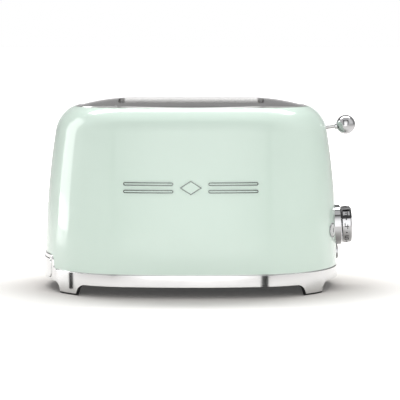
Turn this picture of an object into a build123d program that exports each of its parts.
"""Two-slot pop-up toaster with a rounded retro body, as separate pieces.

Millimetres, +Z up. X runs along the slots with the lever at +X, and the front faces -Y.
The model is laid out about the middle of the body at table height, and each piece is moved
along X when it is written, so that the origin is the bottom centre of the whole toaster.
"""

from build123d import *
from math import asin, atan2, cos, degrees, radians, sin, sqrt, tan
import os

# ---------------------------------------------------------------- driving dimensions
# Body outline: a wide arc front and back, joined by a tighter arc at each end.
HALF_LENGTH = 153.0
HALF_DEPTH = 97.5
FRONT_RADIUS = 480.0

# Side profile of the shell: a long gentle arc, then a rounded shoulder up to the rim.
SIDE_RADIUS = 862.0
SIDE_WAIST_Z = 25.0
SHOULDER_Z = 164.8
SHOULDER_RADIUS = 33.0
RIM_SLOPE_DEG = 26.0
SHELL_BOTTOM_Z = 24.0
SHELL_WALL = 1.0
RIM_LIP_DEPTH = 6.0

# Top plate: a crowned sheet with a folded edge and two bread slots.
PLATE_GAP = 1.0
PLATE_SHEET = 1.2
PLATE_TOP_Z = 198.0
PLATE_FLAT_HALF = HALF_LENGTH - 93.0
PLATE_CROWN_X = 210.0
PLATE_SIDE_DROP = 9.0
PLATE_BEAD_WIDTH = 2.4
PLATE_BEAD_RISE = 0.7
PLATE_EDGE_DEPTH = 3.6
SLOT_LENGTH = 150.0
SLOT_WIDTH = 37.0
SLOT_CENTRE_Y = SLOT_WIDTH / 2 + 8.0
SLOT_CORNER = 7.0
SLOT_COLLAR_DEPTH = 8.0

# Base band and feet.
PAD_THICKNESS = 1.5
ARCH_Z = 11.5
BAND_TOP_Z = 23.5
BAND_PROUD = 0.6
BAND_WALL = 3.0
BAND_EDGE_ROUND = 0.7
UPSTAND_TOP_Z = 27.0
UPSTAND_WALL = 2.0
ARCH_HALF_X = HALF_LENGTH - 39.0
ARCH_HALF_Y = HALF_DEPTH - 43.0
ARCH_FLARE_RADIUS = 9.0
ARCH_FLANK_RUN = 3.0
FOOT_BLOCK_STEP = 2.6
FOOT_BLOCK_DEPTH = 26.0
PAN_Z = 13.0
PAN_THICKNESS = 2.0
RUNNER_HEIGHT = 1.4

# Screws, cord bush and cord spool under the pan.
SCREW_SHANK = 3.5
SCREW_HEAD = 7.0
SCREW_HEAD_HEIGHT = 2.4
SCREW_LENGTH = 8.0
SCREW_INSET = 5.0
GLAND_X = HALF_LENGTH - 39.0
GLAND_Y = 30.0
GLAND_DIAMETER = 11.0
GLAND_BORE = 7.0
SPOOL_LENGTH = 112.0
SPOOL_WIDTH = 56.0
SPOOL_GROOVE = 11.0
SPOOL_WALL = 5.0
SPOOL_DEPTH = 8.5
SPOOL_RIM = 1.8

# Raised end of the base band, which frames the crumb tray's handle.
END_PANEL_HALF = 45.0
END_PANEL_TOP_Z = 37.5
END_PANEL_CORNER = 8.0
END_PANEL_FLARE = 5.0
END_PANEL_PROUD = 0.9
HANDLE_HALF = 41.0
HANDLE_BOTTOM_Z = 14.0
HANDLE_TOP_Z = 33.0
HANDLE_CORNER = 4.0
HANDLE_GAP = 0.5
HANDLE_PROUD = 1.6
HANDLE_THICKNESS = 3.0

# Chassis between the two end plates.
CHASSIS_HALF_X = SLOT_LENGTH / 2 + 5.0
CHASSIS_SHEET = 1.0
CHASSIS_FLANGE = 12.0
BOARD_Y = SLOT_CENTRE_Y + SLOT_WIDTH / 2 + 5.5
CHASSIS_HALF_Y = BOARD_Y + 5.5
BOARD_THICKNESS = 0.8
BOARD_BOTTOM_Z = 44.0
BOARD_TOP_Z = 178.0
HEATER_WIRE = 0.5
HEATER_ROWS = 15

SHIELD_BOTTOM_Z = 30.0
SHIELD_TOP_Z = 186.0
SHIELD_LIP = 8.0
TRAY_WALL_HEIGHT = 9.0
TRAY_SHEET = 0.8
TRAY_END_X = CHASSIS_HALF_X - 3.0
TRAY_HALF = HANDLE_HALF - 2.0

# Bread guides and lifters.
GUIDE_REST_OFFSET = SLOT_WIDTH / 2 - 1.5
GUIDE_TRAVEL = 8.5
GUIDE_WIRE = 1.6
GUIDE_RAIL = 2.0
GUIDE_BOTTOM_Z = 46.0
GUIDE_TOP_Z = 176.0
GUIDE_WIRES = 8
GUIDE_SPAN = 140.0
LIFTER_THICKNESS = 3.0
LIFTER_HEIGHT = 6.0
LIFTER_Z = 98.0
LIFTER_RUNG = 1.6
LIFTER_RUNG_HALF = GUIDE_REST_OFFSET - GUIDE_TRAVEL - 3.5
LIFTER_RUNGS = 7

# Lever, its carriage and the guide rod.
LEVER_TRAVEL = 68.0
LEVER_TILT_DEG = 8.0
LEVER_ROD = 4.2
BALL_DIAMETER = 20.0
BALL_X = HALF_LENGTH + 8.9
BALL_Z = 169.5
GUIDE_ROD_X = CHASSIS_HALF_X + 18.0
GUIDE_ROD = 5.0
GUIDE_ROD_TOP_Z = 180.0
HUB_DIAMETER = 13.0
HUB_BOTTOM_Z = 148.0
HUB_TOP_Z = 168.0
CARRIAGE_X = CHASSIS_HALF_X + 8.0
CARRIAGE_SHEET = 2.0
CARRIAGE_HALF_Y = SLOT_CENTRE_Y + 7.5
CARRIAGE_STEM_HALF = 7.0
ROD_BOSS_DIAMETER = 12.0
ROD_BOSS_TOP_Z = 24.0
ROD_BRACKET_Z = 174.0
SPRING_WIRE = 1.0
SPRING_TURNS = 18
SPRING_CLEARANCE = 0.4
MAGNET_SIZE = 14.0
MAGNET_WALL = 2.5
MAGNET_GAP = 0.3
MAGNET_COIL_RADIUS = 4.2
ARMATURE_THICKNESS = 1.5

# Browning dial on the right-hand end.
SKIRT_DEPTH = 5.0
SKIRT_BACK = 4.0
SKIRT_CHAMFER = 0.8
DRUM_DIAMETER = 38.0
SKIRT_DIAMETER = DRUM_DIAMETER + 4.0
DRUM_GAP = 1.0
DRUM_DEPTH = 10.0
DRUM_HUB_DIAMETER = 16.0
DIAL_STEM = 6.0
DIAL_STEM_LENGTH = 16.0
DIAL_EDGE_ROUND = 1.6
DIAL_DIGITS = 6
DIAL_PITCH_DEG = 43.0
DIAL_WINDOW_DEG = 137.0
DIAL_WINDOW_SPAN_DEG = 36.0
DIAL_DIGIT_HEIGHT = 5.5
DIAL_DIGIT_PEN = 0.8
DIAL_DIGIT_RISE = 0.2
DIAL_DOT = 1.5
DIAL_REST_DIGIT = 3

# Push buttons round the dial.
BUTTON_DIAMETER = 12.6
BUTTON_RING = 1.2
BUTTON_RISE = 1.8
BUTTON_RING_RISE = 1.2
BUTTON_DEPTH = 7.0
BUTTON_STEM = 4.0
BUTTON_STEM_LENGTH = 5.0
BUTTON_TRAVEL = 1.5
BUTTON_SPREAD_DEG = 22.0
LOW_BUTTON_Z = UPSTAND_TOP_Z + BUTTON_DIAMETER / 2 + 2.2
DIAL_Z = LOW_BUTTON_Z + BUTTON_DIAMETER / 2 + BUTTON_RING + SKIRT_DIAMETER / 2
SIDE_BUTTON_Z = DIAL_Z - 2.0
ICON_RISE = 0.15

# Control board.
PCB_X = HALF_LENGTH - 27.0
PCB_HALF_Y = 30.0
PCB_BOTTOM_Z = 20.0
PCB_TOP_Z = 86.0
PCB_THICKNESS = 1.6
PCB_POST = 3.0
PCB_POST_HEIGHT = 26.0
PCB_EDGE = 4.0

# Front emblem: a diamond between two pairs of bars.
EMBLEM_Z = 111.0
EMBLEM_RISE = 0.9
EMBLEM_OUTLINE = 0.9
EMBLEM_HEIGHT = 14.0
EMBLEM_DIAMOND = 22.0
EMBLEM_BAR_HEIGHT = 3.2
EMBLEM_BAR_LENGTH = 50.0
EMBLEM_BAR_GAP = 6.5
EMBLEM_BAR_STEP = 7.5

# Named clearances.
FIT_CLEARANCE = 0.08
SLIDE_CLEARANCE = 0.3
SEAT_CLEARANCE = 0.05
TRAY_CLEARANCE = 0.6

# ---------------------------------------------------------------- values that follow
END_RADIUS = (
    2 * FRONT_RADIUS * HALF_DEPTH - HALF_DEPTH**2 - HALF_LENGTH**2
) / (2 * (FRONT_RADIUS - HALF_LENGTH))
END_CENTRE = HALF_LENGTH - END_RADIUS
FRONT_CENTRE = FRONT_RADIUS - HALF_DEPTH
JOINT_DEG = degrees(atan2(FRONT_CENTRE, END_CENTRE))
SHOULDER_DEG = degrees(asin((SHOULDER_Z - SIDE_WAIST_Z) / SIDE_RADIUS))
SHOULDER_SWEEP = 90.0 - RIM_SLOPE_DEG - SHOULDER_DEG
RIM_INSET = (
    SIDE_RADIUS
    - (SIDE_RADIUS - SHOULDER_RADIUS) * cos(radians(SHOULDER_DEG))
    - SHOULDER_RADIUS * sin(radians(RIM_SLOPE_DEG))
)
RIM_Z = (
    SHOULDER_Z
    - SHOULDER_RADIUS * sin(radians(SHOULDER_DEG))
    + SHOULDER_RADIUS * cos(radians(RIM_SLOPE_DEG))
)
PLATE_INSET = RIM_INSET + SHELL_WALL + PLATE_GAP
PLATE_CROWN_Y = ((HALF_DEPTH - PLATE_INSET) ** 2 + PLATE_SIDE_DROP**2) / (2 * PLATE_SIDE_DROP)
PAN_TOP_Z = PAN_Z + PAN_THICKNESS
TRAY_BOTTOM_Z = PAN_TOP_Z + RUNNER_HEIGHT + SEAT_CLEARANCE
TRAY_TOP_Z = TRAY_BOTTOM_Z + TRAY_WALL_HEIGHT
HANDLE_BACK_X = -(END_CENTRE + sqrt((END_RADIUS - BAND_WALL) ** 2 - HANDLE_HALF**2)) + 3.0
BODY_LEFT = -(HALF_LENGTH + HANDLE_PROUD)
BALL_RIGHT = BALL_X + BALL_DIAMETER / 2
ORIGIN_SHIFT = -(BODY_LEFT + BALL_RIGHT) / 2

HANGING = (Align.CENTER, Align.CENTER, Align.MAX)
STANDING = (Align.CENTER, Align.CENTER, Align.MIN)


# ---------------------------------------------------------------- shared geometry
def box(x0, x1, y0, y1, z0, z1):
    """A box between two corners."""
    middle = Pos((x0 + x1) / 2, (y0 + y1) / 2, (z0 + z1) / 2)
    return middle * Box(x1 - x0, y1 - y0, z1 - z0)


def rod(start, end, diameter):
    """A round bar from one point to another."""
    run = Vector(*end) - Vector(*start)
    plane = Plane(origin=start, z_dir=run)
    return plane.location * Cylinder(diameter / 2, run.length, align=STANDING)


def group(pieces):
    """Separate solids in one node."""
    return Compound([solid for piece in pieces for solid in piece.solids()])


def side_inset(z):
    """How far the shell's gentle side arc stands in from the outline at a height."""
    return SIDE_RADIUS - sqrt(SIDE_RADIUS**2 - (z - SIDE_WAIST_Z) ** 2)


def side_slope_deg(z):
    """Tilt of the shell's side from upright at a height."""
    return degrees(asin((z - SIDE_WAIST_Z) / SIDE_RADIUS))


def arc_sweep(section, side):
    """Sweep a section, drawn as (distance out from the outline, height), along one arc.

    The sides are 0 for the right-hand end, 1 for the back, 2 for the left and 3 for the front.
    """
    is_end = side in (0, 2)
    away = radians(90.0 * side)
    reach = END_CENTRE if is_end else -FRONT_CENTRE
    radius = END_RADIUS if is_end else FRONT_RADIUS
    half = JOINT_DEG if is_end else 90.0 - JOINT_DEG
    centre = Vector(reach * cos(away), reach * sin(away), 0)
    start = away - radians(half)
    outward = Vector(cos(start), sin(start), 0)
    plane = Plane(origin=centre, x_dir=outward, z_dir=outward.cross(Vector(0, 0, 1)))
    placed = plane.location * (Pos(radius, 0) * section)
    return revolve(placed, Axis(centre, (0, 0, 1)), 2 * half)


def ring(section):
    """Sweep a section round the whole outline."""
    arcs = [arc_sweep(section, side) for side in range(4)]
    return arcs[0].fuse(*arcs[1:])


def outline_prism(inset, z0, z1):
    """The body outline, moved in by an inset, between two heights."""
    corner_x = END_CENTRE + (END_RADIUS - inset) * cos(radians(JOINT_DEG))
    corner_y = (END_RADIUS - inset) * sin(radians(JOINT_DEG))
    half_x = HALF_LENGTH - inset
    half_y = HALF_DEPTH - inset
    edges = [
        ThreePointArc((corner_x, -corner_y), (half_x, 0), (corner_x, corner_y)),
        ThreePointArc((corner_x, corner_y), (0, half_y), (-corner_x, corner_y)),
        ThreePointArc((-corner_x, corner_y), (-half_x, 0), (-corner_x, -corner_y)),
        ThreePointArc((-corner_x, -corner_y), (0, -half_y), (corner_x, -corner_y)),
    ]
    return Pos(0, 0, z0) * extrude(make_face(edges), z1 - z0)


def strip(out0, out1, z0, z1):
    """A rectangular ring section, from one distance out from the outline to another."""
    return Pos((out0 + out1) / 2, (z0 + z1) / 2) * Rectangle(out1 - out0, z1 - z0)


def wall_section(outer_depth, inner_depth):
    """Section of a layer of the shell wall, between two depths below its outer face."""
    side_centre = Vector(-SIDE_RADIUS, SIDE_WAIST_Z)
    tilt = radians(SHOULDER_DEG)
    shoulder_reach = SIDE_RADIUS - SHOULDER_RADIUS
    shoulder_centre = side_centre + Vector(cos(tilt), sin(tilt)) * shoulder_reach
    bounds = []
    for depth in (outer_depth, inner_depth):
        radius = SIDE_RADIUS - depth
        low = degrees(asin((SHELL_BOTTOM_Z - SIDE_WAIST_Z) / radius))
        side = CenterArc(side_centre, radius, low, SHOULDER_DEG - low)
        shoulder = CenterArc(
            shoulder_centre, SHOULDER_RADIUS - depth, SHOULDER_DEG, SHOULDER_SWEEP
        )
        bounds.append((side, shoulder))
    (outer_side, outer_shoulder), (inner_side, inner_shoulder) = bounds
    rim = Line(outer_shoulder @ 1, inner_shoulder @ 1)
    foot = Line(inner_side @ 0, outer_side @ 0)
    return make_face([outer_side, outer_shoulder, rim, inner_shoulder, inner_side, foot])


def crown(rise):
    """Everything under the top plate's crowned surface, raised or lowered by a distance."""
    flat = PLATE_FLAT_HALF
    radius = PLATE_CROWN_X + rise
    top = PLATE_TOP_Z + rise
    reach_deg = degrees(asin(0.95 * HALF_LENGTH / (2 * PLATE_CROWN_X)))
    far_x = flat + radius * sin(radians(2 * reach_deg))
    far_z = top - radius * (1 - cos(radians(2 * reach_deg)))
    floor = PLATE_TOP_Z - 2 * SHOULDER_RADIUS
    right = CenterArc((flat, top - radius), radius, 90 - 2 * reach_deg, 2 * reach_deg)
    left = CenterArc((-flat, top - radius), radius, 90, 2 * reach_deg)
    outline = [
        right,
        Line((flat, top), (-flat, top)),
        left,
        Polyline((-far_x, far_z), (-far_x, floor), (far_x, floor), (far_x, far_z)),
    ]
    half_deg = degrees(asin(1.2 * HALF_DEPTH / PLATE_CROWN_Y))
    axis = Axis((0, 0, PLATE_TOP_Z - PLATE_CROWN_Y), (1, 0, 0))
    profile = Plane.XZ.location * make_face(outline)
    return revolve(profile.rotate(axis, -half_deg), axis, 2 * half_deg)


def wall_plane(side_deg, z, lift=0.0):
    """Plane on the right-hand end wall, its Z pointing out of the wall and its Y up the wall.

    side_deg turns round the end arc from the +X direction towards +Y.
    """
    turn = radians(side_deg)
    tilt = radians(side_slope_deg(z))
    reach = END_RADIUS - side_inset(z)
    on_wall = Vector(END_CENTRE + reach * cos(turn), reach * sin(turn), z)
    normal = Vector(cos(turn) * cos(tilt), sin(turn) * cos(tilt), sin(tilt))
    across = Vector(-sin(turn), cos(turn), 0)
    return Plane(origin=on_wall + normal * lift, x_dir=across, z_dir=normal)


BUTTON_PLACES = {
    "front": (-BUTTON_SPREAD_DEG, SIDE_BUTTON_Z),
    "rear": (BUTTON_SPREAD_DEG, SIDE_BUTTON_Z),
    "lower": (0.0, LOW_BUTTON_Z),
}
DIAL_PLANE = wall_plane(0.0, DIAL_Z)


# ---------------------------------------------------------------- casing
def lever_line(x):
    """Height of the lever rod's centre line at rest."""
    return BALL_Z - (BALL_X - x) * tan(radians(LEVER_TILT_DEG))


def lever_slot(margin):
    """Upright slot that the lever rod travels in, a margin wider all round."""
    half = LEVER_ROD / 2 + margin
    high = lever_line(HALF_LENGTH - side_inset(BALL_Z)) + SLIDE_CLEARANCE
    inside_x = HALF_LENGTH - side_inset(BALL_Z - LEVER_TRAVEL) - 4 * SHELL_WALL
    low = lever_line(inside_x) - LEVER_TRAVEL - SLIDE_CLEARANCE
    x0, x1 = GUIDE_ROD_X + HUB_DIAMETER, BALL_RIGHT
    body = box(x0, x1, -half, half, low, high)
    ends = [rod((x0, 0, z), (x1, 0, z), 2 * half) for z in (low, high)]
    return body.fuse(*ends)


def end_panel_profile(margin):
    """Raised end of the base band as a prism along X, a margin larger all round."""
    half = END_PANEL_HALF + margin
    top = END_PANEL_TOP_Z + margin
    corner = END_PANEL_CORNER + margin
    flare = END_PANEL_FLARE - margin
    low = BAND_TOP_Z + margin
    edges = [
        Polyline((half + flare, 0), (-half - flare, 0), (-half - flare, low)),
        JernArc((-half - flare, low), (1, 0), flare, 90),
        Line((-half, low + flare), (-half, top - corner)),
        JernArc((-half, top - corner), (0, 1), corner, -90),
        Line((-half + corner, top), (half - corner, top)),
        JernArc((half - corner, top), (1, 0), corner, -90),
        Line((half, top - corner), (half, low + flare)),
        JernArc((half, low + flare), (0, -1), flare, 90),
        Line((half + flare, low), (half + flare, 0)),
    ]
    face = Plane.YZ.location * make_face(edges)
    return extrude(face, 2 * HALF_LENGTH, dir=(-1, 0, 0))


def outer_shell():
    """Painted steel shell, open below, with the rim turned down inside."""
    lip = strip(
        -RIM_INSET - SHELL_WALL, -RIM_INSET, RIM_Z - RIM_LIP_DEPTH, RIM_Z - SEAT_CLEARANCE
    )
    shell = ring(wall_section(0, SHELL_WALL) + lip)
    shell -= lever_slot(SLIDE_CLEARANCE)
    shell -= end_panel_profile(SLIDE_CLEARANCE)
    shell -= DIAL_PLANE.location * Cylinder(DIAL_STEM, 2 * BUTTON_DEPTH)
    for side_deg, z in BUTTON_PLACES.values():
        hole = BUTTON_DIAMETER / 2 + BUTTON_RING - SLIDE_CLEARANCE
        shell -= wall_plane(side_deg, z).location * Cylinder(hole, 2 * BUTTON_DEPTH)
    return shell


def top_plate():
    """Crowned steel plate with a raised folded edge and two collared bread slots."""
    sheet = crown(0) - crown(-PLATE_SHEET)
    plate = sheet & outline_prism(PLATE_INSET, ARCH_Z, 2 * PLATE_TOP_Z)
    edge = crown(PLATE_BEAD_RISE) - crown(-PLATE_EDGE_DEPTH)
    edge &= outline_prism(PLATE_INSET, ARCH_Z, 2 * PLATE_TOP_Z)
    edge -= outline_prism(PLATE_INSET + PLATE_BEAD_WIDTH, ARCH_Z, 2 * PLATE_TOP_Z)
    plate = plate.fuse(edge)
    collar_z = PLATE_TOP_Z - PLATE_SHEET - SLOT_COLLAR_DEPTH
    for side in (-1, 1):
        outer = RectangleRounded(
            SLOT_LENGTH + 2 * PLATE_SHEET, SLOT_WIDTH + 2 * PLATE_SHEET, SLOT_CORNER + PLATE_SHEET
        )
        inner = RectangleRounded(SLOT_LENGTH, SLOT_WIDTH, SLOT_CORNER)
        place = Pos(0, side * SLOT_CENTRE_Y, collar_z)
        collar = place * extrude(outer, 2 * SLOT_COLLAR_DEPTH)
        plate = plate.fuse(collar & crown(-SEAT_CLEARANCE))
        plate -= place * extrude(inner, 3 * SLOT_COLLAR_DEPTH)
    return plate


def top_gasket():
    """Dark seal in the gap between the shell's lip and the plate's folded edge."""
    out = -RIM_INSET - SHELL_WALL
    width = PLATE_GAP - SEAT_CLEARANCE
    return ring(strip(out - width, out - SEAT_CLEARANCE, RIM_Z - RIM_LIP_DEPTH, RIM_Z - 1.2))


# ---------------------------------------------------------------- base
def arch_cutter(half, step, along_x):
    """Prism that opens the band between two feet, its flanks flared into the band."""
    top = ARCH_Z
    flank = half + ARCH_FLANK_RUN - step
    radius = ARCH_FLARE_RADIUS
    lean = atan2(ARCH_FLANK_RUN, top)
    turn = 90 - degrees(lean)
    half_top = half - step - radius * tan(radians(turn) / 2)
    arc_end = Vector(
        half_top + radius * sin(radians(turn)), top - radius * (1 - cos(radians(turn)))
    )
    run = (arc_end.Y + PAN_Z) * tan(lean)
    low = Vector(arc_end.X + run, -PAN_Z)
    edges = [
        Line((-half_top, top), (half_top, top)),
        CenterArc((half_top, top - radius), radius, 90, -turn),
        Polyline(arc_end, low, (-low.X, low.Y), (-arc_end.X, arc_end.Y)),
        CenterArc((-half_top, top - radius), radius, 90, turn),
    ]
    plane = Plane.XZ if along_x else Plane.YZ
    face = plane.location * make_face(edges)
    return extrude(face, 2 * HALF_LENGTH, both=True)


def open_arches(solid, step=0.0):
    """Cut the four arches, which leaves a foot at each corner."""
    solid -= arch_cutter(ARCH_HALF_X, step, True)
    solid -= arch_cutter(ARCH_HALF_Y, step, False)
    return solid


def base_frame():
    """Chrome band round the base, with a foot at each corner and a raised left-hand end."""
    band = strip(BAND_PROUD - BAND_WALL, BAND_PROUD, PAD_THICKNESS, BAND_TOP_Z)
    outer_corner = band.vertices().sort_by(Axis.X)[-2:]
    band = fillet(outer_corner, BAND_EDGE_ROUND)
    inner = -SHELL_WALL - SLIDE_CLEARANCE
    band += strip(inner - UPSTAND_WALL, inner, ARCH_Z + PAN_THICKNESS + 2, UPSTAND_TOP_Z)
    frame = open_arches(ring(band))
    panel = strip(BAND_PROUD - BAND_WALL, END_PANEL_PROUD, ARCH_Z, END_PANEL_TOP_Z)
    raised = arc_sweep(panel, 2) & end_panel_profile(0)
    frame = frame.fuse(raised)
    frame -= handle_prism(HANDLE_GAP)
    return frame


def handle_prism(margin):
    """Outline of the crumb tray's handle as a prism through the left-hand end."""
    width = 2 * (HANDLE_HALF + margin)
    height = HANDLE_TOP_Z - HANDLE_BOTTOM_Z + 2 * margin
    middle = (HANDLE_TOP_Z + HANDLE_BOTTOM_Z) / 2
    face = RectangleRounded(width, height, HANDLE_CORNER + margin)
    placed = Plane.YZ.location * (Pos(0, middle) * face)
    return extrude(placed, -HALF_LENGTH - 2 * HANDLE_PROUD)


def base_pan():
    """Black floor of the toaster, with two runners for the crumb tray."""
    inset = BAND_WALL - BAND_PROUD + SLIDE_CLEARANCE
    pan = outline_prism(inset, PAN_Z, PAN_TOP_Z)
    for side in (-1, 1):
        y = side * (HANDLE_HALF - 4)
        x1 = CHASSIS_HALF_X - 2
        pan += box(-HALF_LENGTH + 12, x1, y - 1, y + 1, PAN_TOP_Z, PAN_TOP_Z + RUNNER_HEIGHT)
    for y in (PCB_EDGE - PCB_HALF_Y, PCB_HALF_Y - PCB_EDGE):
        x0 = PCB_X + SEAT_CLEARANCE
        y0, y1 = y - PCB_POST, y + PCB_POST
        pan += box(x0, x0 + PCB_POST, y0, y1, PAN_TOP_Z, PCB_BOTTOM_Z + PCB_POST_HEIGHT)
    for x, y in screw_places():
        pan -= Pos(x, y, PAN_Z - 1) * Cylinder(
            SCREW_SHANK / 2 + SLIDE_CLEARANCE, PAN_THICKNESS + 2, align=STANDING
        )
    pan -= Pos(GLAND_X, GLAND_Y, PAN_Z - 1) * Cylinder(
        GLAND_DIAMETER / 2 + SEAT_CLEARANCE, PAN_THICKNESS + 2, align=STANDING
    )
    return pan


def screw_places():
    """Where the chassis flanges are screwed down to the pan."""
    x = CHASSIS_HALF_X + CHASSIS_FLANGE / 2
    y = CHASSIS_HALF_Y - SCREW_INSET
    return [(sx * x, sy * y) for sx in (-1, 1) for sy in (-1, 1)]


def base_screws():
    """Four screws up through the pan into the chassis flanges."""
    head_z = PAN_Z - SCREW_HEAD_HEIGHT
    head = Pos(0, 0, head_z) * Cylinder(
        SCREW_HEAD / 2, SCREW_HEAD_HEIGHT - SEAT_CLEARANCE, align=STANDING
    )
    shank = Pos(0, 0, PAN_Z - 1) * Cylinder(SCREW_SHANK / 2, SCREW_LENGTH, align=STANDING)
    cross = Pos(0, 0, head_z) * (Box(4, 1, 2) + Box(1, 4, 2))
    screw = head + shank - cross
    return group([Pos(x, y, 0) * screw for x, y in screw_places()])


def foot_region(z0, z1, inset, step):
    """Four corner blocks inside the band, from one height to another."""
    blocks = open_arches(outline_prism(inset, z0, z1), step)
    reach_x = ARCH_HALF_X - step - FOOT_BLOCK_DEPTH / 2
    keep = [
        box(*sorted((sx * reach_x, sx * HALF_LENGTH)), *sorted((sy * 40, sy * HALF_DEPTH)), z0, z1)
        for sx in (-1, 1)
        for sy in (-1, 1)
    ]
    return group([blocks & corner for corner in keep])


def foot_blocks():
    """Black plastic blocks that back the chrome feet."""
    inset = BAND_WALL - BAND_PROUD + SLIDE_CLEARANCE
    return foot_region(PAD_THICKNESS, PAN_Z - SEAT_CLEARANCE, inset, FOOT_BLOCK_STEP)


def foot_pads():
    """Rubber pads under the feet."""
    return foot_region(0, PAD_THICKNESS - SEAT_CLEARANCE, 0.4, FOOT_BLOCK_STEP)


def cord_gland():
    """Rubber bush where the mains cord enters through the pan."""
    bush = Pos(GLAND_X, GLAND_Y, PAN_Z - 3) * Cylinder(GLAND_DIAMETER / 2, 8, align=STANDING)
    flange = Pos(GLAND_X, GLAND_Y, PAN_Z - 3) * Cylinder(
        GLAND_DIAMETER / 2 + 2, 3 - SEAT_CLEARANCE, align=STANDING
    )
    collar = Pos(GLAND_X, GLAND_Y, PAN_TOP_Z + SEAT_CLEARANCE) * Cylinder(
        GLAND_DIAMETER / 2 + 1.5, 2, align=STANDING
    )
    bore = Pos(GLAND_X, GLAND_Y, PAN_Z - 4) * Cylinder(GLAND_BORE / 2, 12, align=STANDING)
    return bush.fuse(flange, collar) - bore


def cord_wrap():
    """Spool under the pan that the spare cord winds round."""
    low = PAN_Z - SPOOL_DEPTH
    core = spool_layer(SPOOL_GROOVE, low + SPOOL_RIM / 2, PAN_Z - SEAT_CLEARANCE)
    rim = spool_layer(0, low, low + SPOOL_RIM)
    hollow = spool_layer(SPOOL_GROOVE + SPOOL_WALL, low, PAN_Z - SPOOL_RIM)
    return core + rim - hollow


def spool_layer(inset, z0, z1):
    """One layer of the cord spool, moved in by an inset, between two heights."""
    wide = SPOOL_WIDTH - 2 * inset
    face = RectangleRounded(SPOOL_LENGTH - 2 * inset, wide, wide / 2 - 1)
    return Pos(0, 0, z0) * extrude(face, z1 - z0)


# ---------------------------------------------------------------- chassis and heaters
def chassis_plate(side):
    """Sheet end plate with slots for the guides and lifters and a notch for the tray."""
    x0 = CHASSIS_HALF_X
    x1 = x0 + CHASSIS_SHEET
    half = CHASSIS_HALF_Y
    plate = box(x0, x1, -half, half, PAN_TOP_Z + SEAT_CLEARANCE, PLATE_TOP_Z)
    above = box(x0 - 1, x1 + 1, -half, half, SHOULDER_Z, 2 * PLATE_TOP_Z)
    plate -= above - crown(-PLATE_SHEET - 4 * SEAT_CLEARANCE)
    foot_z = PAN_TOP_Z + SEAT_CLEARANCE
    plate += box(x0, x0 + CHASSIS_FLANGE, -half, half, foot_z, foot_z + CHASSIS_SHEET)
    notch = HANDLE_HALF + TRAY_CLEARANCE
    plate -= box(x0 - 1, x1 + CHASSIS_FLANGE, -notch, notch, 0, TRAY_TOP_Z + TRAY_CLEARANCE)
    for slot_side in (-1, 1):
        y = slot_side * SLOT_CENTRE_Y
        half_slot = LIFTER_THICKNESS / 2 + SLIDE_CLEARANCE
        low = LIFTER_Z - LEVER_TRAVEL - SLIDE_CLEARANCE
        high = LIFTER_Z + LIFTER_HEIGHT + SLIDE_CLEARANCE
        plate -= box(x0 - 1, x1 + 1, y - half_slot, y + half_slot, low, high)
        for guide_side in (-1, 1):
            near = GUIDE_REST_OFFSET + GUIDE_RAIL / 2 + SLIDE_CLEARANCE
            far = GUIDE_REST_OFFSET - GUIDE_TRAVEL - GUIDE_RAIL / 2 - SLIDE_CLEARANCE
            y0, y1 = sorted((y + guide_side * near, y + guide_side * far))
            for z in (GUIDE_BOTTOM_Z, GUIDE_TOP_Z):
                gap = GUIDE_RAIL / 2 + SLIDE_CLEARANCE
                plate -= box(x0 - 1, x1 + 1, y0, y1, z - gap, z + gap)
    for x, y in screw_places():
        if x > 0:
            plate -= Pos(x, y, 0) * Cylinder(SCREW_SHANK / 2 + FIT_CLEARANCE, 2 * PAN_TOP_Z + 9)
    return plate if side > 0 else plate.mirror(Plane.YZ)


def heat_shield(side):
    """Sheet between the heater and the shell, with a folded lip along the bottom."""
    y1 = CHASSIS_HALF_Y
    y0 = y1 - CHASSIS_SHEET
    half = CHASSIS_HALF_X - SEAT_CLEARANCE
    shield = box(-half, half, y0, y1, SHIELD_BOTTOM_Z, SHIELD_TOP_Z)
    shield += box(-half, half, y1 - SHIELD_LIP, y1, SHIELD_BOTTOM_Z, SHIELD_BOTTOM_Z + 1)
    return shield if side > 0 else shield.mirror(Plane.XZ)


def heater_board(y):
    """Mica board that carries a heating element, notched along both edges."""
    half = CHASSIS_HALF_X - SEAT_CLEARANCE
    t = BOARD_THICKNESS / 2
    board = box(-half, half, y - t, y + t, BOARD_BOTTOM_Z, BOARD_TOP_Z)
    for x in (-half + 8, half - 8):
        for row in range(HEATER_ROWS):
            z = heater_row_z(row)
            board -= Pos(x, y, z) * Box(2.0, 4 * t, 1.2)
    return board


def heater_row_z(row):
    """Height of one run of the heating wire."""
    span = BOARD_TOP_Z - BOARD_BOTTOM_Z - 16
    return BOARD_BOTTOM_Z + 8 + span * row / (HEATER_ROWS - 1)


def heater_wires(y, faces):
    """Flat ribbon runs across the faces of a board."""
    half = CHASSIS_HALF_X - 9
    runs = []
    for face in faces:
        near = y + face * (BOARD_THICKNESS / 2 + SEAT_CLEARANCE)
        far = near + face * HEATER_WIRE
        for row in range(HEATER_ROWS):
            z = heater_row_z(row)
            runs.append(box(-half, half, *sorted((near, far)), z - 0.7, z + 0.7))
    return group(runs)


# ---------------------------------------------------------------- bread guides and carriage
def bread_guide(slot_side, guide_side):
    """Wire grille on one side of a slot, carried by two rails through the end plates."""
    y = slot_side * SLOT_CENTRE_Y + guide_side * GUIDE_REST_OFFSET
    reach = CHASSIS_HALF_X + CHASSIS_SHEET + 2
    rails = [rod((-reach, y, z), (reach, y, z), GUIDE_RAIL) for z in (GUIDE_BOTTOM_Z, GUIDE_TOP_Z)]
    step = GUIDE_SPAN / (GUIDE_WIRES - 1)
    places = [-GUIDE_SPAN / 2 + step * index for index in range(GUIDE_WIRES)]
    wires = [rod((x, y, GUIDE_BOTTOM_Z), (x, y, GUIDE_TOP_Z), GUIDE_WIRE) for x in places]
    return rails[0].fuse(rails[1], *wires)


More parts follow.
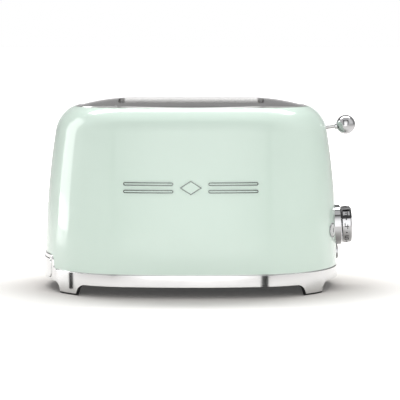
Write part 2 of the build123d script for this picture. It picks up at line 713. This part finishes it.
def bread_lifter(slot_side):
    """Bar that carries a slice, with cross rungs along its top edge."""
    y = slot_side * SLOT_CENTRE_Y
    half = LIFTER_THICKNESS / 2
    left = -CHASSIS_HALF_X - CHASSIS_SHEET - 3
    bar = box(left, CARRIAGE_X, y - half, y + half, LIFTER_Z, LIFTER_Z + LIFTER_HEIGHT)
    step = GUIDE_SPAN / (GUIDE_WIRES - 1)
    top = LIFTER_Z + LIFTER_HEIGHT
    rungs = []
    for index in range(LIFTER_RUNGS):
        x = (index - (LIFTER_RUNGS - 1) / 2) * step
        ends = (x, y - LIFTER_RUNG_HALF, top), (x, y + LIFTER_RUNG_HALF, top)
        rungs.append(rod(*ends, LIFTER_RUNG))
    return bar.fuse(*rungs)


def lift_carriage():
    """Plate that joins both lifters to a hub on the guide rod."""
    x0 = CARRIAGE_X
    x1 = x0 + CARRIAGE_SHEET
    low = LIFTER_Z - 1
    high = LIFTER_Z + LIFTER_HEIGHT + 3
    bar = box(x0, x1, -CARRIAGE_HALF_Y, CARRIAGE_HALF_Y, low, high)
    stem = box(x0, x1, -CARRIAGE_STEM_HALF, CARRIAGE_STEM_HALF, low, HUB_TOP_Z)
    web = box(x0, GUIDE_ROD_X, -2, 2, HUB_BOTTOM_Z, HUB_TOP_Z)
    hub = Pos(GUIDE_ROD_X, 0, HUB_BOTTOM_Z) * Cylinder(
        HUB_DIAMETER / 2, HUB_TOP_Z - HUB_BOTTOM_Z, align=STANDING
    )
    bore = Pos(GUIDE_ROD_X, 0, 0) * Cylinder(
        GUIDE_ROD / 2 + FIT_CLEARANCE, 2 * PLATE_TOP_Z, align=STANDING
    )
    y1 = CARRIAGE_HALF_Y
    ledge = box(x0, x0 + MAGNET_SIZE, y1 - MAGNET_SIZE, y1, low, low + 2)
    return bar.fuse(stem, web, hub, ledge) - bore


def guide_rod():
    """Upright steel rod that the carriage slides on."""
    start = (GUIDE_ROD_X, 0, PAN_TOP_Z + 2)
    return rod(start, (GUIDE_ROD_X, 0, GUIDE_ROD_TOP_Z), GUIDE_ROD)


def rod_boss():
    """Boss on the pan that holds the rod's lower end."""
    foot = PAN_TOP_Z + SEAT_CLEARANCE
    boss = Pos(GUIDE_ROD_X, 0, foot) * Cylinder(
        ROD_BOSS_DIAMETER / 2, ROD_BOSS_TOP_Z - foot, align=STANDING
    )
    bore = Pos(GUIDE_ROD_X, 0, PAN_TOP_Z + 2) * Cylinder(
        GUIDE_ROD / 2 + SEAT_CLEARANCE, ROD_BOSS_TOP_Z, align=STANDING
    )
    return boss - bore


def rod_bracket():
    """Angle on the right-hand end plate that holds the rod's upper end."""
    x0 = CHASSIS_HALF_X + CHASSIS_SHEET + SEAT_CLEARANCE
    x1 = GUIDE_ROD_X + ROD_BOSS_DIAMETER / 2
    shelf = box(x0, x1, -8, 8, ROD_BRACKET_Z, ROD_BRACKET_Z + 2)
    back = box(x0, x0 + 1.5, -8, 8, ROD_BRACKET_Z, ROD_BRACKET_Z + 12)
    bore = Pos(GUIDE_ROD_X, 0, ROD_BRACKET_Z - 1) * Cylinder(
        GUIDE_ROD / 2 + SEAT_CLEARANCE, 4, align=STANDING
    )
    return shelf + back - bore


def rod_bumper():
    """Rubber ring that stops the carriage at the top of its travel."""
    low = HUB_TOP_Z + SLIDE_CLEARANCE
    ring_height = ROD_BRACKET_Z - SEAT_CLEARANCE - low
    outer = Pos(GUIDE_ROD_X, 0, low) * Cylinder(HUB_DIAMETER / 2 - 1, ring_height, align=STANDING)
    bore = Pos(GUIDE_ROD_X, 0, low) * Cylinder(
        GUIDE_ROD / 2 + SEAT_CLEARANCE, ring_height, align=STANDING
    )
    return outer - bore


def return_spring():
    """Coil spring round the guide rod, from the boss up to the hub."""
    low = ROD_BOSS_TOP_Z + SPRING_WIRE / 2 + SEAT_CLEARANCE
    high = HUB_BOTTOM_Z - SPRING_WIRE / 2 - SEAT_CLEARANCE
    radius = GUIDE_ROD / 2 + SPRING_CLEARANCE + SPRING_WIRE / 2
    path = Helix(pitch=(high - low) / SPRING_TURNS, height=high - low, radius=radius)
    start = Plane(origin=path @ 0, z_dir=path % 0)
    coil = sweep(start.location * Circle(SPRING_WIRE / 2), path=path)
    return Pos(GUIDE_ROD_X, 0, low) * coil


def lever_rod():
    """Steel rod from the carriage hub out through the slot to the ball."""
    tilt = radians(LEVER_TILT_DEG)
    x0 = GUIDE_ROD_X + HUB_DIAMETER / 2 - 0.5
    x1 = BALL_X - BALL_DIAMETER / 2 * cos(tilt) + 4
    bar = rod((x0, 0, lever_line(x0)), (x1, 0, lever_line(x1)), LEVER_ROD)
    hub = Pos(GUIDE_ROD_X, 0, 0) * Cylinder(
        HUB_DIAMETER / 2 + SEAT_CLEARANCE, 2 * PLATE_TOP_Z, align=STANDING
    )
    return bar - hub


def lever_ball():
    """Chromed ball on the end of the lever."""
    ball = Pos(BALL_X, 0, BALL_Z) * Sphere(BALL_DIAMETER / 2)
    x0 = BALL_X - BALL_DIAMETER
    x1 = BALL_X - BALL_DIAMETER / 2 * cos(radians(LEVER_TILT_DEG)) + 4 + SEAT_CLEARANCE
    socket = rod((x0, 0, lever_line(x0)), (x1, 0, lever_line(x1)), LEVER_ROD + 2 * SEAT_CLEARANCE)
    return ball - socket


def magnet_bounds():
    """Sides of the hold-down magnet, as x0, x1, y0 and y1."""
    x0 = CARRIAGE_X + CARRIAGE_SHEET + 1
    return x0, CARRIAGE_X + MAGNET_SIZE, CARRIAGE_HALF_Y - MAGNET_SIZE, CARRIAGE_HALF_Y


def magnet_yoke():
    """U-shaped steel yoke of the hold-down magnet."""
    top = LIFTER_Z - 1 - LEVER_TRAVEL - ARMATURE_THICKNESS - MAGNET_GAP
    x0, x1, y0, y1 = magnet_bounds()
    block = box(x0, x1, y0, y1, PAN_TOP_Z + SEAT_CLEARANCE, top)
    wall = MAGNET_WALL
    window = box(x0 - 1, x1 + 1, y0 + wall, y1 - wall, PAN_TOP_Z + 2, top + 1)
    return block - window


def magnet_coil():
    """Winding inside the yoke."""
    top = LIFTER_Z - 1 - LEVER_TRAVEL - ARMATURE_THICKNESS - MAGNET_GAP - 1
    x0, x1, y0, y1 = magnet_bounds()
    base = PAN_TOP_Z + 2 + SEAT_CLEARANCE
    place = Pos((x0 + x1) / 2, (y0 + y1) / 2, base)
    return place * Cylinder(MAGNET_COIL_RADIUS, top - base, align=STANDING)


def magnet_armature():
    """Iron plate under the carriage that the magnet holds down."""
    top = LIFTER_Z - 1 - SEAT_CLEARANCE
    x0, x1, y0, y1 = magnet_bounds()
    return box(x0, x1, y0, y1, top - ARMATURE_THICKNESS, top)


def slot_seal():
    """Rubber flaps behind the lever slot, split along the middle."""
    clear = lever_slot(SLIDE_CLEARANCE / 3)
    width = LEVER_ROD + 14
    section = wall_section(SHELL_WALL + SEAT_CLEARANCE, SHELL_WALL + 1.2)
    band = arc_sweep(section, 0)
    low = lever_line(HALF_LENGTH) - LEVER_TRAVEL - 8
    high = SHOULDER_Z + 12
    return (band & box(0, 2 * HALF_LENGTH, -width / 2, width / 2, low, high)) - clear


# ---------------------------------------------------------------- dial and buttons
def on_dial(shape):
    """Place a shape drawn about the dial's axis, with its Z out of the wall."""
    return DIAL_PLANE.location * shape


def dial_skirt():
    """Fixed chrome collar that meets the curved wall."""
    height = SKIRT_DEPTH + SKIRT_BACK
    collar = Pos(0, 0, -SKIRT_BACK) * Cylinder(SKIRT_DIAMETER / 2, height, align=STANDING)
    collar = chamfer(collar.edges().group_by(Axis.Z)[-1], SKIRT_CHAMFER)
    bore = Cylinder(DIAL_STEM / 2 + FIT_CLEARANCE, 4 * SKIRT_DEPTH)
    placed = on_dial(collar - bore)
    inside = wall_section(-SEAT_CLEARANCE, 2 * SKIRT_DEPTH)
    return placed - arc_sweep(inside, 0)


def dial_drum():
    """Chrome knob that turns, with a stem to the potentiometer."""
    low = SKIRT_DEPTH + DRUM_GAP
    drum = Pos(0, 0, low) * Cylinder(DRUM_DIAMETER / 2, DRUM_DEPTH, align=STANDING)
    drum = fillet(drum.edges().group_by(Axis.Z)[-1], DIAL_EDGE_ROUND)
    recess = Pos(0, 0, low + DRUM_DEPTH - 0.6) * Cylinder(DRUM_DIAMETER / 2 - 4, 1, align=STANDING)
    hub_low = SKIRT_DEPTH + SLIDE_CLEARANCE
    hub = Pos(0, 0, hub_low) * Cylinder(DRUM_HUB_DIAMETER / 2, DRUM_GAP + 1, align=STANDING)
    stem = Pos(0, 0, -DIAL_STEM_LENGTH + 4) * Cylinder(
        DIAL_STEM / 2, DIAL_STEM_LENGTH + 4, align=STANDING
    )
    return on_dial((drum - recess).fuse(hub, stem))


def digit(value):
    """A digit drawn with a square-ended pen on a grid three wide and five high."""
    strokes = {
        1: [[(1, 4), (2, 5), (2, 0)]],
        2: [[(0, 5), (3, 5), (3, 2.5), (0, 2.5), (0, 0), (3, 0)]],
        3: [[(0, 5), (3, 5), (3, 0), (0, 0)], [(1, 2.5), (3, 2.5)]],
        4: [[(0, 5), (0, 2), (3, 2)], [(2.4, 3.5), (2.4, 0)]],
        5: [[(3, 5), (0, 5), (0, 2.5), (3, 2.5), (3, 0), (0, 0)]],
        6: [[(3, 5), (0, 5), (0, 0), (3, 0), (3, 2.5), (0, 2.5)]],
    }[value]
    scale = DIAL_DIGIT_HEIGHT / 5
    lines = [[Vector((x - 1.5) * scale, (y - 2.5) * scale) for x, y in run] for run in strokes]
    bars = [pen_stroke(a, b) for run in lines for a, b in zip(run, run[1:])]
    return bars[0].fuse(*bars[1:])


def pen_stroke(start, end):
    """One straight stroke of a digit, square at both ends."""
    run = end - start
    place = Location((start + end) * 0.5, (0, 0, degrees(atan2(run.Y, run.X))))
    return place * extrude(Rectangle(run.length + DIAL_DIGIT_PEN, DIAL_DIGIT_PEN), 4)


def dial_marks(radius0, radius1):
    """Digits and dots round the drum, as a thin layer between two radii."""
    axial = SKIRT_DEPTH + DRUM_GAP + DRUM_DEPTH / 2 - 0.8
    layer = Cylinder(radius1, 60) - Cylinder(radius0, 60)
    marks = []
    for index in range(2 * DIAL_DIGITS - 1):
        steps = index / 2 + 1 - DIAL_REST_DIGIT
        turn = radians(DIAL_WINDOW_DEG + steps * DIAL_PITCH_DEG)
        dot = extrude(Circle(DIAL_DOT / 2), 4)
        symbol = digit(index // 2 + 1) if index % 2 == 0 else dot
        outward = Vector(cos(turn), sin(turn), 0)
        start = outward * (radius0 - 2) + Vector(0, 0, axial)
        plane = Plane(origin=start, x_dir=(0, 0, 1), z_dir=outward)
        marks.append((plane.location * symbol) & layer)
    return marks


def dial_numerals():
    """Raised digits and dots on the drum."""
    radius = DRUM_DIAMETER / 2
    marks = dial_marks(radius + 0.01, radius + DIAL_DIGIT_RISE)
    return group([on_dial(mark) for mark in marks])


def dial_window():
    """Fixed frame on the skirt round the digit that is set."""
    radius = DRUM_DIAMETER / 2 + DIAL_DIGIT_RISE + SLIDE_CLEARANCE
    thick = 1.0
    start = radians(DIAL_WINDOW_DEG - DIAL_WINDOW_SPAN_DEG / 2)
    length = SKIRT_DEPTH / 2 + DRUM_GAP + DRUM_DEPTH
    outward = Vector(cos(start), sin(start), 0)
    plane = Plane(origin=(0, 0, 0), x_dir=outward, z_dir=outward.cross(Vector(0, 0, 1)))
    section = Pos(radius + thick / 2, SKIRT_DEPTH / 2 + length / 2) * Rectangle(thick, length)
    band = revolve(plane.location * section, Axis.Z, DIAL_WINDOW_SPAN_DEG)
    middle = radians(DIAL_WINDOW_DEG)
    facing = Vector(cos(middle), sin(middle), 0)
    axial = SKIRT_DEPTH + DRUM_GAP + DRUM_DEPTH / 2 - 0.4
    hole = Plane(origin=facing * (radius - 2) + Vector(0, 0, axial), x_dir=(0, 0, 1), z_dir=facing)
    band -= hole.location * extrude(RectangleRounded(7.4, 8.0, 0.8), 6)
    return on_dial(band - Cylinder(SKIRT_DIAMETER / 2 + SEAT_CLEARANCE, 2 * SKIRT_DEPTH))


def potentiometer():
    """Dial potentiometer on the control board, with a bore for the dial's stem."""
    start = -DIAL_STEM_LENGTH + 2
    body = Pos(0, 0, start - 2) * Cylinder(8, 8, align=STANDING)
    bore = Pos(0, 0, start + 1.5) * Cylinder(DIAL_STEM / 2 + FIT_CLEARANCE, 10, align=STANDING)
    return on_dial(body - bore)


def button_ring(name):
    """Chrome ring round a push button."""
    plane = wall_plane(*BUTTON_PLACES[name])
    outer = BUTTON_DIAMETER / 2 + BUTTON_RING
    sleeve_radius = outer - 2 * SLIDE_CLEARANCE
    sleeve = Cylinder(sleeve_radius, BUTTON_DEPTH, align=HANGING)
    flange = Pos(0, 0, SEAT_CLEARANCE) * Cylinder(
        outer, BUTTON_RING_RISE - SEAT_CLEARANCE, align=STANDING
    )
    flange = fillet(flange.edges().group_by(Axis.Z)[-1], 0.3)
    bore = Cylinder(BUTTON_DIAMETER / 2 + FIT_CLEARANCE, 4 * BUTTON_DEPTH)
    top = Pos(0, 0, -0.01) * Cylinder(sleeve_radius, 2 * SEAT_CLEARANCE, align=STANDING)
    return plane.location * (sleeve.fuse(top, flange) - bore)


def button_cap(name):
    """Push button with a stem towards its switch."""
    plane = wall_plane(*BUTTON_PLACES[name])
    cap = Pos(0, 0, BUTTON_RISE) * Cylinder(
        BUTTON_DIAMETER / 2, BUTTON_DEPTH, align=HANGING
    )
    cap = fillet(cap.edges().group_by(Axis.Z)[-1], 0.5)
    stem = Pos(0, 0, BUTTON_RISE - BUTTON_DEPTH) * Cylinder(
        BUTTON_STEM / 2, BUTTON_STEM_LENGTH, align=HANGING
    )
    return plane.location * cap.fuse(stem)


def button_icon(name):
    """Raised mark on a push button: a bar, a star of bars or a ring."""
    plane = wall_plane(*BUTTON_PLACES[name], lift=BUTTON_RISE)
    if name == "front":
        sketch = RectangleRounded(1.0, 4.6, 0.45)
    elif name == "rear":
        bars = [Rot(0, 0, turn) * RectangleRounded(0.8, 6.0, 0.35) for turn in (0, 60, 120)]
        sketch = bars[0] + bars[1] + bars[2]
    else:
        sketch = Circle(2.8) - Circle(2.0)
    return plane.location * extrude(sketch, ICON_RISE)


def tact_switches():
    """Three small switches behind the buttons."""
    switches = []
    for name in BUTTON_PLACES:
        plane = wall_plane(*BUTTON_PLACES[name])
        face = BUTTON_RISE - BUTTON_DEPTH - BUTTON_STEM_LENGTH - BUTTON_TRAVEL - SLIDE_CLEARANCE
        place = Pos(0, 0, face)
        switches.append(
            plane.location * place * Box(6, 6, 4, align=HANGING)
        )
    return group(switches)


def control_board():
    """Circuit board on the inside of the right-hand end."""
    return box(
        PCB_X - PCB_THICKNESS, PCB_X, -PCB_HALF_Y, PCB_HALF_Y, PCB_BOTTOM_Z, PCB_TOP_Z
    )


def board_parts():
    """Larger components on the back of the control board."""
    back = PCB_X - PCB_THICKNESS - SEAT_CLEARANCE
    relay = box(back - 12, back, 12, 28, 26, 40)
    capacitor = rod((back, -22, 36), (back - 11, -22, 36), 10)
    chip = box(back - 3, back, -8, 8, 48, 58)
    return group([relay, capacitor, chip])


def terminal_block():
    """Screw terminals for the incoming mains cord."""
    x, y = GLAND_X - 5, -GLAND_Y + 6
    block = box(x - 9, x + 9, y - 6, y + 6, PAN_TOP_Z + SEAT_CLEARANCE, PAN_TOP_Z + 14)
    for dx in (-5, 0, 5):
        block -= Pos(x + dx, y, PAN_TOP_Z + 10) * Cylinder(1.6, 8, align=STANDING)
    return block


# ---------------------------------------------------------------- crumb tray
def crumb_tray():
    """Shallow tray that slides out of the left-hand end."""
    half = TRAY_HALF
    back = HANDLE_BACK_X + SEAT_CLEARANCE
    tray = box(back, TRAY_END_X, -half, half, TRAY_BOTTOM_Z, TRAY_TOP_Z)
    tray -= box(
        back + TRAY_SHEET,
        TRAY_END_X - TRAY_SHEET,
        -half + TRAY_SHEET,
        half - TRAY_SHEET,
        TRAY_BOTTOM_Z + TRAY_SHEET,
        TRAY_TOP_Z + 1,
    )
    return tray


def tray_handle():
    """Chrome end of the crumb tray, flush with the raised end of the base."""
    face = strip(HANDLE_PROUD - HANDLE_THICKNESS, HANDLE_PROUD, HANDLE_BOTTOM_Z, HANDLE_TOP_Z)
    plate = arc_sweep(face, 2) & handle_prism(0)
    neck = box(
        -HALF_LENGTH, HANDLE_BACK_X, -TRAY_HALF, TRAY_HALF, TRAY_BOTTOM_Z, TRAY_BOTTOM_Z + 3
    )
    inner = arc_sweep(strip(-2 * END_RADIUS / 3, HANDLE_PROUD - 1, 0, RIM_Z), 2)
    return plate.fuse(neck & inner)


# ---------------------------------------------------------------- emblem
def emblem_shapes(grow):
    """Outlines of the emblem: a diamond between two pairs of bars."""
    wide, high = EMBLEM_DIAMOND / 2 + 1.6 * grow, EMBLEM_HEIGHT / 2 + grow
    shapes = [make_face(Polyline((-wide, 0), (0, high), (wide, 0), (0, -high), (-wide, 0)))]
    height = EMBLEM_BAR_HEIGHT + 2 * grow
    for side in (-1, 1):
        for level in (-0.5, 0.5):
            middle = EMBLEM_DIAMOND / 2 + EMBLEM_BAR_GAP + EMBLEM_BAR_LENGTH / 2
            bar = RectangleRounded(EMBLEM_BAR_LENGTH + 2 * grow, height, height / 2 - 0.01)
            shapes.append(Pos(side * middle, level * EMBLEM_BAR_STEP) * bar)
    return shapes


def emblem_layer(shapes, rise):
    """Stand flat shapes up on the curved front of the shell."""
    layer = ring(wall_section(-rise, -SEAT_CLEARANCE))
    pieces = []
    for shape in shapes:
        face = Plane.XZ.location * (Pos(0, EMBLEM_Z) * shape)
        pieces.append(extrude(face, 2 * HALF_DEPTH) & layer)
    return pieces


def emblem_rims():
    """Chrome outlines of the emblem."""
    outer = emblem_layer(emblem_shapes(0), EMBLEM_RISE)
    inner = emblem_layer(emblem_shapes(-EMBLEM_OUTLINE), 2 * EMBLEM_RISE)
    return group([rim - core for rim, core in zip(outer, inner)])


def emblem_fills():
    """Enamel inside the emblem's outlines."""
    return group(emblem_layer(emblem_shapes(-EMBLEM_OUTLINE - SEAT_CLEARANCE), EMBLEM_RISE - 0.3))


# ---------------------------------------------------------------- write every node
def nodes():
    """Every node by name."""
    made = {
        "outer_shell": outer_shell(),
        "top_plate": top_plate(),
        "top_gasket": top_gasket(),
        "base_frame": base_frame(),
        "base_pan": base_pan(),
        "base_screws": base_screws(),
        "foot_blocks": foot_blocks(),
        "foot_pads": foot_pads(),
        "cord_gland": cord_gland(),
        "cord_wrap": cord_wrap(),
        "left_chassis_plate": chassis_plate(-1),
        "right_chassis_plate": chassis_plate(1),
        "front_heat_shield": heat_shield(-1),
        "rear_heat_shield": heat_shield(1),
        "front_heater_board": heater_board(-BOARD_Y),
        "middle_heater_board": heater_board(0),
        "rear_heater_board": heater_board(BOARD_Y),
        "front_heater_wires": heater_wires(-BOARD_Y, (1,)),
        "middle_heater_wires": heater_wires(0, (-1, 1)),
        "rear_heater_wires": heater_wires(BOARD_Y, (-1,)),
        "front_bread_lifter": bread_lifter(-1),
        "rear_bread_lifter": bread_lifter(1),
        "lift_carriage": lift_carriage(),
        "guide_rod": guide_rod(),
        "guide_rod_boss": rod_boss(),
        "guide_rod_bracket": rod_bracket(),
        "guide_rod_bumper": rod_bumper(),
        "return_spring": return_spring(),
        "lever_rod": lever_rod(),
        "lever_ball": lever_ball(),
        "lever_slot_seal": slot_seal(),
        "magnet_yoke": magnet_yoke(),
        "magnet_coil": magnet_coil(),
        "magnet_armature": magnet_armature(),
        "dial_skirt": dial_skirt(),
        "dial_drum": dial_drum(),
        "dial_numerals": dial_numerals(),
        "dial_window": dial_window(),
        "dial_potentiometer": potentiometer(),
        "button_switches": tact_switches(),
        "control_board": control_board(),
        "control_board_parts": board_parts(),
        "terminal_block": terminal_block(),
        "crumb_tray": crumb_tray(),
        "crumb_tray_handle": tray_handle(),
        "emblem_rims": emblem_rims(),
        "emblem_fills": emblem_fills(),
    }
    for slot_name, slot_side in (("front", -1), ("rear", 1)):
        for guide_name, guide_side in (("outer", slot_side), ("inner", -slot_side)):
            made[f"{slot_name}_slot_{guide_name}_guide"] = bread_guide(slot_side, guide_side)
    for name in BUTTON_PLACES:
        made[f"{name}_button_ring"] = button_ring(name)
        made[f"{name}_button"] = button_cap(name)
        made[f"{name}_button_icon"] = button_icon(name)
    return made


def main():
    """Write one STEP file per node."""
    os.makedirs("parts", exist_ok=True)
    for name, shape in nodes().items():
        export_step(Pos(ORIGIN_SHIFT, 0, 0) * shape, f"parts/{name}.step")
    print("origin shift", round(ORIGIN_SHIFT, 3), "end radius", round(END_RADIUS, 2))
    print("dial axis point", DIAL_PLANE.origin, "direction", DIAL_PLANE.z_dir)
    for name, place in BUTTON_PLACES.items():
        plane = wall_plane(*place)
        print(name, "button at", plane.origin, "direction", plane.z_dir)


main()
